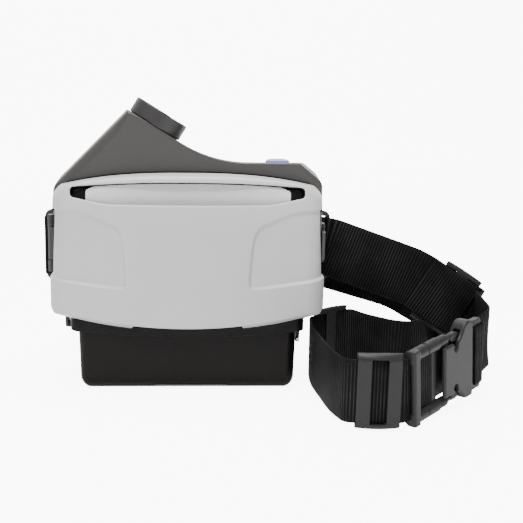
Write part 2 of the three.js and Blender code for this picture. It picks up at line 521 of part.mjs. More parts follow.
// ---------- belt ----------
// Webbing runs through points [x, y, z, rounding, lean]. Its width stays as near upright as the path lets it,
// and it leans over by the given degrees, blended along the path.
function webbing(points, thick = WEB.thick, width = WEB.width) {
  const places = points.map(([x, y, z]) => new THREE.Vector3(x, y, z));
  const leanAt = (i) => rad(points[i][4] ?? 0);
  const blend = THREE.MathUtils.lerp;
  const stations = [];
  const add = (curve, steps, leanFrom, leanTo) => {
    for (let k = stations.length ? 1 : 0; k <= steps; k += 1) {
      const share = k / steps;
      stations.push({ at: curve.getPoint(share), along: curve.getTangent(share), lean: blend(leanFrom, leanTo, share) });
    }
  };
  let from = places[0];
  let leanFrom = leanAt(0);
  for (let i = 1; i < places.length; i += 1) {
    const here = places[i];
    const before = here.distanceTo(places[i - 1]);
    const after = i + 1 < places.length ? here.distanceTo(places[i + 1]) : 0;
    const round = Math.min(points[i][3] ?? 0, LARGEST_STEP * before, LARGEST_STEP * after);
    const start = here.clone().lerp(places[i - 1], round / before);
    const bends = leanAt(i) === leanFrom ? 1 : 4;
    add(new THREE.LineCurve3(from, start), bends, leanFrom, leanAt(i));
    leanFrom = leanAt(i);
    from = start;
    if (round > 0) {
      const end = here.clone().lerp(places[i + 1], round / after);
      add(new THREE.QuadraticBezierCurve3(start, here, end), 6, leanFrom, leanFrom);
      from = end;
    }
  }
  const corners = [];
  for (const { at, along, lean } of stations) {
    const upright = new THREE.Vector3(0, 0, 1).addScaledVector(along, -along.z).normalize();
    upright.applyAxisAngle(along, lean);
    const across = new THREE.Vector3().crossVectors(along, upright).normalize();
    for (const [a, u] of [[-1, -1], [1, -1], [1, 1], [-1, 1]]) {
      corners.push(at.clone().addScaledVector(across, a * thick / 2).addScaledVector(upright, u * width / 2));
    }
  }
  const triangles = [[0, 1, 2], [0, 2, 3]];
  for (let s = 0; s + 1 < stations.length; s += 1) {
    for (let k = 0; k < 4; k += 1) {
      const a = 4 * s + k;
      const b = 4 * s + (k + 1) % 4;
      triangles.push([a, a + 4, b + 4], [a, b + 4, b]);
    }
  }
  const last = 4 * (stations.length - 1);
  triangles.push([last, last + 2, last + 1], [last, last + 3, last + 2]);
  const geometry = new THREE.BufferGeometry();
  geometry.setAttribute('position', new THREE.Float32BufferAttribute(corners.flatMap((p) => p.toArray()), 3));
  geometry.setIndex(triangles.flatMap(([a, b, c]) => [a, c, b]));
  const body = solid(geometry);
  return body.volume() > 0 ? body : solid(geometry.setIndex(triangles.flat()));
}

function backplate() {
  const plate = alongY(outline(mirrored([
    [100, WING.low - 10, 6], [WING.tip, WING.low, 5], [WING.tip, WING.high, 5], [100, WING.high + 6, 6]])),
  WING.front, WING.back);
  const slot = box(WING.slotIn, 30, WING.low + 4, WING.slotOut, 50, WING.high - 4);
  const pad = alongY(rectangle(-60, 86, 60, 134, 6), HOUSING.back + GAP, WING.front + 1);
  return piece('belt_backplate', plate.add(pad).subtract(slot).subtract(slot.mirror([1, 0, 0])), COLLAR_GREY);
}

// The buckle stands on its near corner, turned to its heading and tilted up a little towards the far end.
const turned = new THREE.Euler(0, -rad(BUCKLE.tilt), rad(BUCKLE.heading), 'ZYX');
const seam = new THREE.Vector3(BUCKLE.male, 0, 0).applyEuler(turned).add(new THREE.Vector3(...BUCKLE.tip, 0));
const inBuckle = (along, out, up = WEB.rideZ) =>
  new THREE.Vector3(along, -out, up).applyEuler(turned).add(seam).toArray();
const placeBuckle = (body) => body.rotate([0, -BUCKLE.tilt, 0]).rotate([0, 0, BUCKLE.heading]).translate(seam.toArray());

// Straight stretches of the straps that carry the sliders.
const buckleBend = inBuckle(-45, 0);
const frontStretch = [[116, buckleBend[1], WEB.rideZ], buckleBend];
const rearStretch = [[192, 35, 79], [240, 24, 49]];
const leftStretch = [[137, 24.4, WEB.rideZ], [100.4, -3.2, WEB.rideZ]];

// A slider sits at the middle of its stretch, or a little further along it, with its crown on the outer side.
function onStretch([from, to], share, outward) {
  const [dx, dy, dz] = to.map((value, i) => value - from[i]);
  const turn = THREE.MathUtils.radToDeg(Math.atan2(dy * outward, dx * outward));
  const tip = -THREE.MathUtils.radToDeg(Math.atan2(dz * outward, Math.hypot(dx, dy)));
  return { at: from.map((value, i) => value + share * (to[i] - value)), turn, tip };
}
const sliderSpots = {
  front: onStretch(frontStretch, 0.56, -1),
  left: onStretch(leftStretch, 0.52, -1),
  rear: onStretch(rearStretch, 0.57, 1),
};

function straps() {
  const left = webbing([
    [-119, 32.2, 112], [-116.5, 32.4, 112, 1.5], [-103, 44, 112, 3], [104, 47, 97, 12], [184, 52, 71, 14],
    [224, 58, 44, 12, 15], [233, 45, 28, 9, 40], [213, 27, 17, 12, 55], [196, -6, 27, 14, 16], [172, -18, WEB.rideZ, 14],
    [148, 6, WEB.rideZ, 9], [137, 24.4, WEB.rideZ, 6], [...leftStretch[1], 4], [99.5, -34, WEB.rideZ, 12],
    [108, -98, WEB.rideZ, 24], [...frontStretch[0], 6], [...buckleBend, 3], inBuckle(-11.2, 0)]);
  const right = webbing([[104, 43.4, 112], [116.5, 32.4, 112, 1.5], [...rearStretch[0], 10], [235, 25.2, 52.2]]);
  const end = webbing([[243.1, 18, 45], [...inBuckle(86, -4.6, 33), 8], inBuckle(75, -4.6), inBuckle(52, -4.6)],
    WEB.thick - 0.2, WEB.width - 0.4);
  const fold = placeBuckle(alongZ(outline([
    [45, -5.5], [60, -5.5, 4.6], [61.6, 0], [60, 5.5, 4.6], [45, 5.5], [45, 3.7], [57.4, 3.7, 2.6], [59.7, 0],
    [57.4, -3.7, 2.6], [45, -3.7]]), WEB.rideZ - WEB.width / 2, WEB.rideZ + WEB.width / 2));
  return [
    piece('strap_left', left, WEBBING_BLACK),
    piece('strap_right', right, WEBBING_BLACK),
    piece('strap_right_end', end.add(fold), WEBBING_BLACK),
  ];
}

function slider(name, { at, turn, tip = 0 }) {
  const { half, height, cap, bar, centreBar, crown, back } = SLIDER;
  const crescent = new THREE.Shape();
  crescent.moveTo(-half, -1.4);
  crescent.quadraticCurveTo(0, crown * 2 - 1.4 + 1.6, half, -1.4);
  crescent.lineTo(half - 1, -back);
  crescent.lineTo(-half + 1, -back);
  crescent.closePath();
  const body = alongZ(crescent, -height / 2, height / 2, 8);
  const window = box(-half - 1, -1.3, -height / 2 + cap, half + 1, 1.3, height / 2 - cap);
  const frontWindow = box(-half + bar, 0, -height / 2 + cap, half - bar, 12, height / 2 - cap);
  const rearWindow = (side) => box(side < 0 ? -half - 1 : centreBar, -back - 1, -height / 2 + cap,
    side < 0 ? -centreBar : half + 1, 0, height / 2 - cap);
  const frame = body.subtract(window).subtract(frontWindow).subtract(rearWindow(-1)).subtract(rearWindow(1));
  return piece(name, frame.rotate([0, tip, 0]).rotate([0, 0, turn]).translate(at), BUCKLE_GREY);
}

function buckle() {
  const { male, height, rail, halfThick, arm, female } = BUCKLE;
  const top = height - rail;
  const rails = (u0, u1) => [0, top].map((z) => box(u0, -halfThick, z, u1, halfThick, z + rail));
  const maleBody = union(
    ...rails(-male, -3),
    box(-male, 1.4, 0, -33, halfThick, height),
    box(-30, -halfThick, 0, -14, -1.4, height),
    box(-9.6, -halfThick, 0, -3, halfThick, height));
  const prong = (z0, z1) => union(
    alongY(rectangle(-2.6, z0, arm - 6, z1, 1.5), -2.6, 2.6),
    alongY(rectangle(arm - 10, z0 - 0.6, arm, z1 + 0.6, 2.4), -2.6, 2.6));
  const plate = (v0, v1) => alongY(outline([
    [0.6, 1, 1.5], [5, 1.4, 2], [15, 9.6, 5], [22, 9.6, 3], [28, 1.6, 4], [female - 22, 2, 3],
    [female - 22, height - 2, 3], [28, height - 1.6, 4], [22, height - 9.6, 3], [15, height - 9.6, 5],
    [5, height - 1.4, 2], [0.6, height - 1, 1.5]]), v0, v1);
  const femaleBody = union(
    plate(3, halfThick + 0.4), plate(-halfThick - 0.4, -3),
    box(0.6, -4, 20, female - 22, 4, 40),
    box(arm + 4, -4, 2, female - 22, 4, height - 2),
    ...[0.4, top - 0.2].map((z) => box(arm + 5, -halfThick, z, female - 1, halfThick, z + rail - 0.2)),
    box(45.6, -3, 1, 56.8, 3, height - 1));
  return [
    piece('buckle_male', placeBuckle(maleBody), BUCKLE_GREY),
    piece('buckle_prong_lower', placeBuckle(prong(3, 9.4)), BUCKLE_GREY),
    piece('buckle_prong_upper', placeBuckle(prong(height - 9.4, height - 3)), BUCKLE_GREY),
    piece('buckle_female', placeBuckle(femaleBody), BUCKLE_GREY),
  ];
}

const respirator = new THREE.Group();
respirator.add(
  ...housingShells(), ...housingScrews(), outletCollar(), ...blower(), fanWheel(), ...motor(), ...controls(),
  filterCover(), ...coverHardware(), ...filterStack(), ...battery(), backplate(), ...straps(),
  slider('slider_front', sliderSpots.front), slider('slider_left', sliderSpots.left),
  slider('slider_rear', sliderSpots.rear), ...buckle());

export default respirator;
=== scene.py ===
"""The looks of a belt-worn powered air respirator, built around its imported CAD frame.

Most pieces are distance functions in millimetres: negative inside the piece and zero on its surface.
shape() samples one on a grid, meshes it, and moves every vertex onto the surface. The frame, the floor
and the camera are in metres.
"""
import json
import math

import bpy
import numpy as np
import openvdb
from mathutils import Matrix, Vector


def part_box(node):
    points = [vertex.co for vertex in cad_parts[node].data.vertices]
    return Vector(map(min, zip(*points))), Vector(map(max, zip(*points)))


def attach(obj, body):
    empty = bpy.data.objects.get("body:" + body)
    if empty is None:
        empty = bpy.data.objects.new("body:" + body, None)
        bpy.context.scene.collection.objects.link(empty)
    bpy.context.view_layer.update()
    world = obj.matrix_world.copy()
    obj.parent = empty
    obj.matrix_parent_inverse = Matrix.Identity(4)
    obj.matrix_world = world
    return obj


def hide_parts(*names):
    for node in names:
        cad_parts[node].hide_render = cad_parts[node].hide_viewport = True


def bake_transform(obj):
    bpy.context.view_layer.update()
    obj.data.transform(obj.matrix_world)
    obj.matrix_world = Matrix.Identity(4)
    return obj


MM = 0.001

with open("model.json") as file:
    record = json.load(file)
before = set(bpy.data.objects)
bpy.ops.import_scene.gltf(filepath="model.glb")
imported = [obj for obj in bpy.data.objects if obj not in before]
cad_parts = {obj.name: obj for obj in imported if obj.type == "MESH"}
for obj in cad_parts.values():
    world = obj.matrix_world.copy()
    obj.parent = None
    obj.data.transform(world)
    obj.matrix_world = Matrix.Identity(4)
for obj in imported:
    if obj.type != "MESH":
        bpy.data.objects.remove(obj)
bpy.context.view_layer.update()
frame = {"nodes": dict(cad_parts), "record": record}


def box_mm(node):
    """Lowest and highest corner of a CAD node, in millimetres."""
    return tuple(np.array(corner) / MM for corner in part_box(node))


cover_low, cover_high = box_mm("filter_cover")
tub_low, tub_high = box_mm("battery_tub")
lid_low, lid_high = box_mm("battery_lid")
pad_low, pad_high = box_mm("prefilter_pad")
housing_back = box_mm("rear_housing")[1][1]

# ---------- driving dimensions, in millimetres ----------
WALL = 2.6
GAP = 0.3

# The housing: flat front and back, a slope up to the outlet at its left, a deck that falls to the back.
HOUSING_HALF = 107.3
HOUSING_FRONT = -12.0
HOUSING_BOTTOM = 54.0
SPLIT = 11.0
SLOPE = ((-HOUSING_HALF, 162), (-48.9, 221.4))
DECK = 182.5
DECK_CREST = -7.0
DECK_FALL = 0.1405
CHAMFER = ((88.5, DECK), (HOUSING_HALF, 167))
FOOT_RISE = 11.0
FOOT_FACING = (0.65, 0.76)
SCREWS = [(-98, 72), (98, 72), (-98, 158), (96, 158)]
INLET = (-44.4, 124.9)
INLET_RADIUS = 23.0

OUTLET_TILT = math.radians(31.8)
OUTLET_LEAN = math.radians(6)
OUTLET_SEAT = np.array([-27.7, SPLIT, 208.7])
OUTLET_RADIUS = 22.85
OUTLET_BORE = 19.0
OUTLET_RISE = 13.2
SPIGOT_RADIUS = OUTLET_RADIUS - 2
SPIGOT_DEPTH = 8.0

BUTTON = (71.5, 2.0)
BUTTON_LENGTH = 9.6
BUTTON_WIDTH = 5.6
BUTTON_PROUD = 2.6

# The cover: a pillow with an arched top and a lower edge that rises to both sides.
COVER_HALF = 109.3
COVER_BACK = HOUSING_FRONT - 0.6
COVER_CROWN = cover_low[1]
COVER_TOP = cover_high[2]
COVER_BOW = 6.5
COVER_ARCH = 9.5
COVER_CHIN = 54.6
CHIN_RISE = 9.4
CHIN_FACING = (0.5, 0.866)
BROW_FACING = (0.86, 0.51)
RECESS_DEPTH = 2.4
SLOT_HALF = 91.8
SLOT_TOP = 169.8
SLOT_BOTTOM = 152.6
SHEET_TOP = 180.0
SHEET_EXTRA = 5.0
HINGE = (-109.2, -12.0)
HINGE_RADIUS = 2.0
LUGS = ((94, 104), (130, 140))
KNUCKLE = (104.4, 129.6)

TUB_HALF = 87.0
TUB_TOP = 50.4
LID_BOTTOM = 44.4
BATTERY_HINGE = (-94, 51)
LABEL_SPAN = (-26, 32)
LABEL_HEIGHT = (1.9, 3.7)

WING_FRONT = 36.0
WING_BACK = 40.0
WING_TIP = 119.0
WING_LOW = 78.0
WING_HIGH = 134.5
WING_HEIGHT = 106.5

WEB_WIDTH = 49.0
WEB_THICK = 1.8
WEB_HEIGHT = 30.0
SLIDER_HALF = 17.0
SLIDER_HEIGHT = 58.0
SLIDER_CAP = 4.0
BUCKLE_TIP = (166, -118)
BUCKLE_HEADING = math.radians(47.1)
BUCKLE_TILT = math.radians(5)
BUCKLE_HEIGHT = 60.0
MALE_LENGTH = 40.0
FEMALE_LENGTH = 41.0


# ---------- distance functions ----------
def both(a, b, r=0.0):
    """Inside a and inside b, with the edge between them rounded to radius r."""
    return np.hypot(np.maximum(a + r, 0), np.maximum(b + r, 0)) + np.minimum(np.maximum(a, b) + r, 0) - r


def all_of(r, *parts):
    """Inside every part, with all the edges between them rounded to radius r."""
    result = parts[0]
    for part in parts[1:]:
        result = both(result, part, r)
    return result


def either(a, b, k=0.0):
    """Inside a or inside b, with the corner between them filled over a reach of k."""
    if k == 0:
        return np.minimum(a, b)
    h = np.maximum(k - np.abs(a - b), 0) / k
    return np.minimum(a, b) - h * h * k / 4


def any_of(*parts):
    result = parts[0]
    for part in parts[1:]:
        result = np.minimum(result, part)
    return result


def without(a, b, r=0.0):
    """Inside a and outside b."""
    return both(a, -b, r)


def slab(value, low, high):
    return np.maximum(low - value, value - high)


def sloping(a, b, shares):
    """A plane between two others, by the share of each in the direction it faces."""
    return a * shares[0] + b * shares[1]


def ramp(value, start, end):
    """0 before start, 1 after end, and a smooth rise between them."""
    t = np.clip((value - start) / (end - start), 0, 1)
    return t * t * (3 - 2 * t)


def block(x, y, z, low, high, r=0.0):
    return all_of(r, slab(x, low[0], high[0]), slab(y, low[1], high[1]), slab(z, low[2], high[2]))


def rod(a, b, along, radius, start, end, r=0.3):
    """A rod of this radius: a and b are measured from its axis, and along runs down it."""
    return both(np.hypot(a, b) - radius, slab(along, start, end), r)


def outline(corners, steps=8):
    """The points of a closed outline through corners (x, y, rounding)."""
    points = []
    for i, (x, y, r) in enumerate(corners):
        here = np.array([x, y], float)
        if r == 0:
            points.append(here)
            continue
        ends = []
        for other in (corners[i - 1], corners[(i + 1) % len(corners)]):
            away = np.array(other[:2], float) - here
            ends.append(here + away * min(r / np.linalg.norm(away), 0.48))
        for t in np.linspace(0, 1, steps):
            points.append((1 - t) ** 2 * ends[0] + 2 * t * (1 - t) * here + t * t * ends[1])
    return points


def polygon(x, y, points):
    """Distance to a closed outline in a plane."""
    x, y = np.broadcast_arrays(x, y)
    nearest = np.full(x.shape, 1e9)
    inside = np.zeros(x.shape, bool)
    for (ax, ay), (bx, by) in zip(points, points[1:] + points[:1]):
        ex, ey = bx - ax, by - ay
        wx, wy = x - ax, y - ay
        t = np.clip((wx * ex + wy * ey) / (ex * ex + ey * ey), 0, 1)
        nearest = np.minimum(nearest, (wx - ex * t) ** 2 + (wy - ey * t) ** 2)
        if ey != 0:
            inside ^= ((ay > y) != (by > y)) & (wx < ex * wy / ey)
    return np.where(inside, -1, 1) * np.sqrt(nearest)


# ---------- meshing ----------
def gradient(distance, points, reach):
    """The slope of a distance function at each point, which is the way out near its surface."""
    columns = []
    for axis in range(3):
        step = np.zeros(3)
        step[axis] = reach
        columns.append((distance(*(points + step).T) - distance(*(points - step).T)) / (2 * reach))
    return np.stack(columns, 1)


def onto_surface(distance, points, limit, rounds=2):
    """The points after a few steps down the slope towards zero distance, each at most the limit."""
    for _ in range(rounds):
        slope = gradient(distance, points, 0.02)
        move = -distance(*points.T) / np.maximum((slope ** 2).sum(1), 0.1)
        points = points + np.clip(move, -limit, limit)[:, None] * slope
    return points


def vertices_of(mesh):
    points = np.empty(len(mesh.vertices) * 3)
    mesh.vertices.foreach_get("co", points)
    return points.reshape(-1, 3)


def fewer_faces(mesh, keep):
    """The mesh with only a share of its faces, mostly taken from flat areas."""
    helper = bpy.data.objects.new("helper", mesh)
    bpy.context.scene.collection.objects.link(helper)
    helper.modifiers.new("fewer", "DECIMATE").ratio = keep
    graph = bpy.context.evaluated_depsgraph_get()
    result = bpy.data.meshes.new_from_object(helper.evaluated_get(graph))
    bpy.data.objects.remove(helper)
    bpy.data.meshes.remove(mesh)
    return result


def add_object(name, mesh, place=None):
    """An object for a mesh in millimetres, which place moves to where it stands."""
    if place is not None:
        mesh.transform(place)
    mesh.transform(Matrix.Scale(MM, 4))
    mesh.name = name
    obj = bpy.data.objects.new(name, mesh)
    bpy.context.scene.collection.objects.link(obj)
    return obj


def shape(name, distance, low, high, step, keep=0.35, place=None):
    """A piece from its distance function, sampled between two corners."""
    axes = [np.arange(a - 2 * step, b + 3 * step, step) for a, b in zip(low, high)]
    field = distance(*np.meshgrid(*axes, indexing="ij", sparse=True))
    field = np.broadcast_to(field, [len(a) for a in axes]).astype(np.float32)
    grid = openvdb.FloatGrid(background=3 * step)
    grid.copyFromArray(np.ascontiguousarray(field))
    points, quads = grid.convertToQuads(isovalue=0.0)
    points = np.asarray(points, float) * step + [a[0] for a in axes]
    points = onto_surface(distance, points, step)
    mesh = bpy.data.meshes.new(name)
    mesh.from_pydata(points.tolist(), [], np.asarray(quads).tolist())
    if keep < 1:
        mesh = fewer_faces(mesh, keep)
        points = onto_surface(distance, vertices_of(mesh), step / 2, rounds=1)
        mesh.vertices.foreach_set("co", points.ravel())
    normals = gradient(distance, vertices_of(mesh), step / 4)
    normals /= np.maximum(np.linalg.norm(normals, axis=1), 1e-6)[:, None]
    mesh.polygons.foreach_set("use_smooth", [True] * len(mesh.polygons))
    mesh.update()
    if place is not None:
        normals = normals @ np.array(place.to_3x3()).T
    obj = add_object(name, mesh, place)
    obj.data.normals_split_custom_set_from_vertices(normals.tolist())
    return obj


# ---------- materials ----------
def linear(*display):
    """A scene colour from its display values of red, green and blue, 0 to 255."""
    shares = [v / 255 for v in display]
    return tuple(((v + 0.055) / 1.055) ** 2.4 if v > 0.04 else v / 12.92 for v in shares) + (1,)


def material(name, colour, roughness, grain=0.0, grain_size=0.4, metallic=0.0, mottle=0.04, gloss=0.5):
    """A procedural finish: slightly uneven colour, and fine bumps about grain_size millimetres across."""
    made = bpy.data.materials.new(name)
    made.use_nodes = True
    nodes, links = made.node_tree.nodes, made.node_tree.links
    shader = nodes["Principled BSDF"]
    shader.inputs["Roughness"].default_value = roughness
    shader.inputs["Metallic"].default_value = metallic
    shader.inputs["Specular IOR Level"].default_value = gloss
    place = nodes.new("ShaderNodeTexCoord")
    patches = nodes.new("ShaderNodeTexNoise")
    patches.inputs["Scale"].default_value = 30
    links.new(place.outputs["Object"], patches.inputs["Vector"])
    tint = nodes.new("ShaderNodeMix")
    tint.data_type = "RGBA"
    tint.inputs["A"].default_value = [v * (1 - mottle) for v in colour[:3]] + [1]
    tint.inputs["B"].default_value = [min(v * (1 + mottle), 1) for v in colour[:3]] + [1]
    links.new(patches.outputs["Fac"], tint.inputs["Factor"])
    links.new(tint.outputs["Result"], shader.inputs["Base Color"])
    if grain:
        bumps = nodes.new("ShaderNodeTexNoise")
        bumps.inputs["Scale"].default_value = 1 / (grain_size * MM)
        bumps.inputs["Detail"].default_value = 1
        links.new(place.outputs["Object"], bumps.inputs["Vector"])
        bump = nodes.new("ShaderNodeBump")
        bump.inputs["Strength"].default_value = grain
        bump.inputs["Distance"].default_value = 0.1 * MM
        links.new(bumps.outputs["Fac"], bump.inputs["Height"])
        links.new(bump.outputs["Normal"], shader.inputs["Normal"])
    return made


def waves(nodes, links, attribute, pitch):
    """A wave between 0 and 1 along a mesh attribute in millimetres."""
    source = nodes.new("ShaderNodeAttribute")
    source.attribute_name = attribute
    turns = maths(nodes, links, "MULTIPLY", source.outputs["Fac"], 2 * math.pi / pitch)
    wave = nodes.new("ShaderNodeMapRange")
    wave.inputs["From Min"].default_value = -1
    links.new(maths(nodes, links, "SINE", turns), wave.inputs["Value"])
    return wave.outputs["Result"]


def maths(nodes, links, operation, *values):
    """The output of a maths node whose inputs are numbers or other nodes' outputs."""
    node = nodes.new("ShaderNodeMath")
    node.operation = operation
    for socket, value in zip(node.inputs, values):
        if isinstance(value, (int, float)):
            socket.default_value = value
        else:
            links.new(value, socket)
    return node.outputs[0]


def webbing_material(name, colour, highlight, rib):
    """Woven webbing: ribs across it, a set distance apart along its run. Their crests carry a painted
    highlight that comes and goes in patches of painted sheen.
    """
    made = material(name, colour, 0.7, gloss=0.12)
    nodes, links = made.node_tree.nodes, made.node_tree.links
    shader = nodes["Principled BSDF"]
    ribs = waves(nodes, links, "run", rib)
    threads = waves(nodes, links, "across", rib / 2)
    place = nodes.new("ShaderNodeTexCoord")
    # Noise patches of painted sheen: they set how strongly the painted rib highlight shows.
    sheen_patches = nodes.new("ShaderNodeTexNoise")
    sheen_patches.inputs["Scale"].default_value = 25
    links.new(place.outputs["Object"], sheen_patches.inputs["Vector"])
    sheen_strength = nodes.new("ShaderNodeMapRange")
    sheen_strength.inputs["From Min"].default_value = 0.35
    sheen_strength.inputs["From Max"].default_value = 0.7
    links.new(sheen_patches.outputs["Fac"], sheen_strength.inputs["Value"])
    # Painted highlight: the rib crests take the lighter highlight colour.
    crests = maths(nodes, links, "POWER", ribs, 3)
    tint = nodes.new("ShaderNodeMix")
    tint.data_type = "RGBA"
    tint.inputs["A"].default_value = colour
    tint.inputs["B"].default_value = highlight
    links.new(maths(nodes, links, "MULTIPLY", crests, sheen_strength.outputs["Result"]), tint.inputs["Factor"])
    links.new(tint.outputs["Result"], shader.inputs["Base Color"])
    bump = nodes.new("ShaderNodeBump")
    bump.inputs["Strength"].default_value = 0.8
    bump.inputs["Distance"].default_value = 0.35 * MM
    links.new(maths(nodes, links, "MULTIPLY_ADD", threads, 0.3, ribs), bump.inputs["Height"])
    links.new(bump.outputs["Normal"], shader.inputs["Normal"])
    return made


FINISHES = {
    "cover": material("cover grey", linear(208, 208, 209), 0.38, grain=0.05),
    "housing": material("housing grey", linear(68, 66, 64), 0.38, grain=0.25, gloss=0.5),
    "collar": material("collar grey", linear(56, 55, 55), 0.4, grain=0.12, gloss=0.4),
    "battery": material("battery black", linear(20, 18, 17), 0.34, grain=0.1, gloss=0.12),
    # The webbing's second colour is a painted highlight on its rib crests.
    "webbing": webbing_material("black webbing", linear(9, 8, 8), linear(62, 60, 60), 2.5),
    "buckle": material("buckle grey", linear(42, 42, 43), 0.4, grain=0.2, gloss=0.25),
    "filter": material("filter white", linear(236, 236, 238), 0.95, grain=0.6, grain_size=0.8),
    "button": material("button blue", linear(150, 158, 226), 0.4),
    # This black finish also colours the two strips that paint shade: the cover's gap line and the inside of
    # the slot.
    "rubber": material("black rubber", linear(18, 17, 18), 0.8, grain=0.2, gloss=0.1),
    "steel": material("bright steel", linear(190, 190, 194), 0.25, metallic=1),
    "copper": material("copper", linear(196, 120, 80), 0.35, metallic=1),
    "board": material("circuit green", linear(34, 98, 60), 0.5, mottle=0.2),
    "cell": material("cell blue", linear(58, 98, 150), 0.4),
    "label": material("blank label", linear(120, 118, 112), 0.6),
    "lens": material("smoked lens", linear(70, 74, 80), 0.15),
}


def dress(obj, slot, *body_and_nodes):
    """Gives a piece its finish, the body it rides on, and the CAD nodes it stands for."""
    obj.data.materials.clear()
    obj.data.materials.append(FINISHES[slot])
    if body_and_nodes:
        body, *stood_for = body_and_nodes
        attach(obj, body)
        if stood_for:
            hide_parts(*stood_for)
    return obj


# ---------- housing ----------
OUTLET_ACROSS = np.array([math.cos(OUTLET_TILT), 0, -math.sin(OUTLET_TILT)])
OUTLET_AXIS = np.array([
    math.sin(OUTLET_TILT) * math.cos(OUTLET_LEAN), math.sin(OUTLET_LEAN),
    math.cos(OUTLET_TILT) * math.cos(OUTLET_LEAN)])
OUTLET_THIRD = np.cross(OUTLET_AXIS, OUTLET_ACROSS)


def in_outlet(x, y, z):
    """Coordinates across the outlet, through it and up its axis, from its seat."""
    offset = (x - OUTLET_SEAT[0], y - OUTLET_SEAT[1], z - OUTLET_SEAT[2])
    return [sum(d * a for d, a in zip(offset, axis)) for axis in (OUTLET_ACROSS, OUTLET_THIRD, OUTLET_AXIS)]


def line(x, z, start, end):
    """Distance to the left of a straight line that runs from start to end, seen from the front."""
    dx, dz = end[0] - start[0], end[1] - start[1]
    length = math.hypot(dx, dz)
    return ((z - start[1]) * dx - (x - start[0]) * dz) / length


def housing_block(x, y, z):
    """The housing as one solid: its outline from the front, then the front and back faces."""
    seat = in_outlet(x, y, z)[2]
    deck = z - DECK + DECK_FALL * np.maximum(y - DECK_CREST, 0)
    side = np.abs(x) - HOUSING_HALF
    foot = sloping(side, HOUSING_BOTTOM + FOOT_RISE - z, FOOT_FACING)
    profile = both(either(seat, deck, 16), line(x, z, *SLOPE), 0.8)
    profile = both(profile, line(x, z, *CHAMFER), 1.2)
    profile = both(profile, side, 3)
    profile = both(profile, foot, 2)
    profile = both(profile, HOUSING_BOTTOM - z, 1.5)
    front_round = 1.4 + 6 * ramp(-x, 38, 60) + 1.4 * ramp(x, 82, 94)
    front = both(profile, HOUSING_FRONT - y, front_round)
    return both(front, y - housing_back, 5)


def housing_shell(x, y, z):
    """The hollow housing, open for the outlet, the air inlet, the button, the lens and the contacts."""
    outside = housing_block(x, y, z)
    shell = without(outside, outside + WALL)
    across, through, up = in_outlet(x, y, z)
    bore = both(np.hypot(across, through) - SPIGOT_RADIUS - GAP / 2, -SPIGOT_DEPTH - 0.2 - up)
    shell = without(shell, bore)
    inlet = both(np.hypot(x - INLET[0], z - INLET[1]) - INLET_RADIUS, y - HOUSING_FRONT - 5)
    shell = without(shell, inlet, 0.5)
    button_hole = both(pill(x, y, BUTTON_LENGTH + 0.4, BUTTON_WIDTH + 0.4), 170 - z)
    lens_hole = block(x, y, z, (30, -2.4, 170), (52, 4.4, 190))
    contact_hole = block(x, y, z, (8, -8.4, 40), (44.4, 8.4, 60))
    return without(shell, any_of(button_hole, lens_hole, contact_hole), 0.3)


def pill(x, y, half_length, half_width):
    """A stadium outline round the power button's centre."""
    beyond = np.maximum(np.abs(x - BUTTON[0]) - (half_length - half_width), 0)
    return np.hypot(beyond, y - BUTTON[1]) - half_width


def front_housing(x, y, z):
    return both(housing_shell(x, y, z), y - SPLIT + GAP / 2, 0.5)


def rear_housing(x, y, z):
    shell = both(housing_shell(x, y, z), SPLIT + GAP / 2 - y, 0.5)
    for screw_x, screw_z in SCREWS:
        recess = both(np.hypot(x - screw_x, z - screw_z) - 3.4, 30 - y)
        shell = without(shell, recess, 0.4)
    return shell


def hinge_knuckle(x, y, z, span, low, high, r):
    """A barrel round the cover's hinge axis over a span of heights, and a web between two corners."""
    barrel = rod(x - HINGE[0], y - HINGE[1], z, HINGE_RADIUS, *span)
    web = block(x, y, z, (*low, span[0]), (*high, span[1]), r)
    return either(barrel, web, 0.6)


def housing_lugs(x, y, z):
    """The cover's hinge lugs, the latch ears and the hook that holds the battery's hinge bar."""
    parts = [hinge_knuckle(x, y, z, span, (-111.2, -12.4), (-106, -7), 0.5) for span in LUGS]
    for low, high in ((101, 105.7), (128.3, 133)):
        parts.append(block(x, y, z, (105.5, -7, low), (110.6, 0, high), 1))
    hook = polygon(x, z, outline([
        (-99.2, 58, 0), (-99.2, 47, 2), (-91.6, 47, 1.4), (-91.6, 48.5, 0.5),
        (-96.6, 48.5, 1.4), (-96.6, 58, 0)]))
    parts.append(both(hook, np.abs(y) - 9, 0.5))
    return any_of(*parts)


def outlet_collar(x, y, z):
    """The tube's socket: a barrel with a rounded rim and a bayonet notch, on a spigot for the housing."""
    across, through, up = in_outlet(x, y, z)
    radius = np.hypot(across, through)
    rim = 1.1
    barrel = both(radius - OUTLET_RADIUS, slab(up, GAP, OUTLET_RISE), rim)
    spigot = both(radius - OUTLET_RADIUS + 2, slab(up, -SPIGOT_DEPTH, 3), 0.5)
    collar = without(either(barrel, spigot), radius - OUTLET_BORE, 0.8)
    notch = all_of(0.3, slab(across, 6.5, 15), through + 12, OUTLET_RISE - rim - up)
    return without(collar, notch, 0.4)


def power_button(x, y, z):
    deck = DECK - DECK_FALL * (BUTTON[1] - DECK_CREST)
    top = deck + BUTTON_PROUD
    dome = z - top + 0.008 * (x - BUTTON[0]) ** 2
    return all_of(1.3, pill(x, y, BUTTON_LENGTH, BUTTON_WIDTH), dome, deck - 6 - z)


# ---------- filter cover ----------
RECESS = outline([
    (130, 147.6, 0), (97, 148.2, 5), (83.5, 147.9, 7), (56.2, 137, 3), (51.6, 130.6, 5), (49, 117, 8),
    (47.2, 92, 5), (48.4, 85.8, 3), (54.5, 85.2, 3), (76, 87.6, 8), (130, 94.2, 0)])


def cover_chin(x):
    """Height of the front face's lower edge, which rises to both sides."""
    return COVER_CHIN + CHIN_RISE * (x / 92) ** 2


